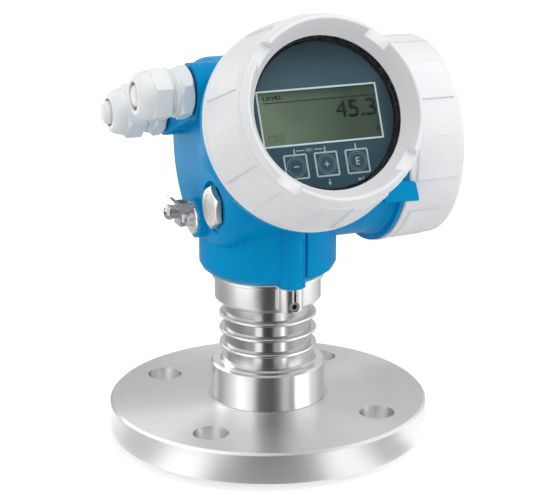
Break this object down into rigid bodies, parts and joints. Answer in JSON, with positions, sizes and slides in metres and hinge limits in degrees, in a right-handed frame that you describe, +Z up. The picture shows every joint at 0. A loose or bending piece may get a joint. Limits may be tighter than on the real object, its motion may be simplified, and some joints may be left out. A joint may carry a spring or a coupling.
{
  "type": "radar level transmitter",
  "caption": "Two-chamber transmitter head with a window over a small display, cable glands and a ground terminal, turning on a finned stainless neck with a bolted pipe flange.",
  "frame": {"origin": "centre of the flange's raised sealing face, on the neck's axis", "axes": "+Z up along the neck, display towards -Y, connection cover towards +X, cable glands towards -X"},
  "size_m": [0.1685, 0.185, 0.2298],
  "materials": {
    "flange_steel": "machined",
    "neck_steel": "turned",
    "collar_steel": "turned",
    "window_plastic": "smooth",
    "seal_rubber": "moulded",
    "tube_brass": "drawn",
    "ring_steel": "blackened",
    "screw_dark": "blackened",
    "housing_paint": "powder coat",
    "cover_paint": "powder coat",
    "clear_glass": "polished",
    "ring_aluminium": "turned",
    "module_plastic": "fine grain",
    "lcd_green": "clear",
    "case_plastic": "moulded",
    "screw_zinc": "plated",
    "terminal_plastic": "moulded",
    "gland_plastic": "moulded",
    "nut_plastic": "moulded",
    "plug_plastic": "moulded",
    "plug_nickel": "nickel plate",
    "terminal_steel": "turned",
    "sheet_steel": "pressed",
    "screw_steel": "plain"
  },
  "bodies": {
    "process_connection": {"process_flange": "flange_steel", "antenna_window": "window_plastic", "window_seal": "seal_rubber", "finned_neck": "neck_steel", "wave_tube": "tube_brass", "feed_coupler": "tube_brass", "neck_seal": "seal_rubber", "retaining_ring": "ring_steel"},
    "head": {"housing": "housing_paint", "turning_collar": "collar_steel", "electronics_case": "case_plastic", "electronics_screws": "screw_zinc", "terminal_block": "terminal_plastic", "terminal_screws": "screw_zinc", "wire_feedthrough": "case_plastic", "inner_ground_screw": "screw_zinc", "gland_a_washer": "seal_rubber", "gland_a_body": "gland_plastic", "gland_b_washer": "seal_rubber", "gland_b_body": "gland_plastic", "ground_base": "terminal_steel", "ground_clamp": "sheet_steel", "ground_washer": "sheet_steel"},
    "collar_screw": {"collar_screw": "screw_dark"},
    "display": {"display_module": "module_plastic", "lcd_panel": "lcd_green"},
    "display_cover_carrier": {"display_cover_seal": "seal_rubber"},
    "display_cover": {"display_cover": "cover_paint", "display_glass": "clear_glass", "glass_gasket": "seal_rubber", "glass_ring": "ring_aluminium"},
    "connection_cover_carrier": {"connection_cover_seal": "seal_rubber"},
    "connection_cover": {"connection_cover": "cover_paint"},
    "gland_a_sleeve": {"gland_a_seal": "seal_rubber"},
    "gland_a_nut": {"gland_a_nut": "nut_plastic"},
    "gland_a_blank": {"gland_a_blank": "plug_plastic"},
    "gland_b_sleeve": {"gland_b_seal": "seal_rubber"},
    "gland_b_nut": {"gland_b_nut": "nut_plastic"},
    "gland_b_blank": {"gland_b_blank": "plug_plastic"},
    "entry_washer": {"entry_washer": "seal_rubber"},
    "entry_plug": {"entry_plug": "plug_nickel"},
    "ground_screw": {"ground_screw": "screw_steel"}
  },
  "joints": [
    {"name": "head_turn", "type": "hinge", "parent": "process_connection", "child": "head", "pos_m": [0, 0, 0.08], "axis": [0, 0, 1], "range_deg": [-175, 175]},
    {"name": "collar_screw_turn", "type": "hinge", "parent": "head", "child": "collar_screw", "pos_m": [0, -0.03, 0.0782], "axis": [0, -1, 0], "range_deg": [0, 360]},
    {"name": "display_turn", "type": "hinge", "parent": "head", "child": "display", "pos_m": [0, 0, 0.152], "axis": [0, -0.9135, 0.4067], "range_deg": [-180, 180]},
    {"name": "display_cover_travel", "type": "slide", "parent": "head", "child": "display_cover_carrier", "axis": [0, -0.9135, 0.4067], "range_m": [0, 0.01201]},
    {"name": "display_cover_turn", "type": "hinge", "parent": "display_cover_carrier", "child": "display_cover", "pos_m": [0, 0, 0.152], "axis": [0, -0.9135, 0.4067], "range_deg": [0, 1440]},
    {"name": "connection_cover_travel", "type": "slide", "parent": "head", "child": "connection_cover_carrier", "axis": [1, 0, 0], "range_m": [0, 0.01201]},
    {"name": "connection_cover_turn", "type": "hinge", "parent": "connection_cover_carrier", "child": "connection_cover", "pos_m": [0, 0, 0.152], "axis": [1, 0, 0], "range_deg": [0, 1440]},
    {"name": "gland_a_travel", "type": "slide", "parent": "head", "child": "gland_a_sleeve", "axis": [-1, 0, 0], "range_m": [0, 0.00301]},
    {"name": "gland_a_turn", "type": "hinge", "parent": "gland_a_sleeve", "child": "gland_a_nut", "pos_m": [-0.062, -0.01052, 0.18643], "axis": [-1, 0, 0], "range_deg": [0, 720]},
    {"name": "gland_a_blank_pull", "type": "slide", "parent": "gland_a_sleeve", "child": "gland_a_blank", "axis": [-1, 0, 0], "range_m": [0, 0.03]},
    {"name": "gland_b_travel", "type": "slide", "parent": "head", "child": "gland_b_sleeve", "axis": [-1, 0, 0], "range_m": [0, 0.00301]},
    {"name": "gland_b_turn", "type": "hinge", "parent": "gland_b_sleeve", "child": "gland_b_nut", "pos_m": [-0.062, 0.03118, 0.17], "axis": [-1, 0, 0], "range_deg": [0, 720]},
    {"name": "gland_b_blank_pull", "type": "slide", "parent": "gland_b_sleeve", "child": "gland_b_blank", "axis": [-1, 0, 0], "range_m": [0, 0.03]},
    {"name": "entry_plug_travel", "type": "slide", "parent": "head", "child": "entry_washer", "axis": [-1, 0, 0], "range_m": [0, 0.00901]},
    {"name": "entry_plug_turn", "type": "hinge", "parent": "entry_washer", "child": "entry_plug", "pos_m": [-0.036, -0.021, 0.13], "axis": [-1, 0, 0], "range_deg": [0, 2160]},
    {"name": "ground_screw_turn", "type": "hinge", "parent": "head", "child": "ground_screw", "pos_m": [-0.045, 0, 0.1239], "axis": [-1, 0, 0], "range_deg": [0, 720]}
  ],
  "couplings": [
    {"joint": "display_cover_travel", "follows": "display_cover_turn", "m_per_rad": 0.00047746},
    {"joint": "connection_cover_travel", "follows": "connection_cover_turn", "m_per_rad": 0.00047746},
    {"joint": "gland_a_travel", "follows": "gland_a_turn", "m_per_rad": 0.00023873},
    {"joint": "gland_b_travel", "follows": "gland_b_turn", "m_per_rad": 0.00023873},
    {"joint": "entry_plug_travel", "follows": "entry_plug_turn", "m_per_rad": 0.00023873}
  ]
}
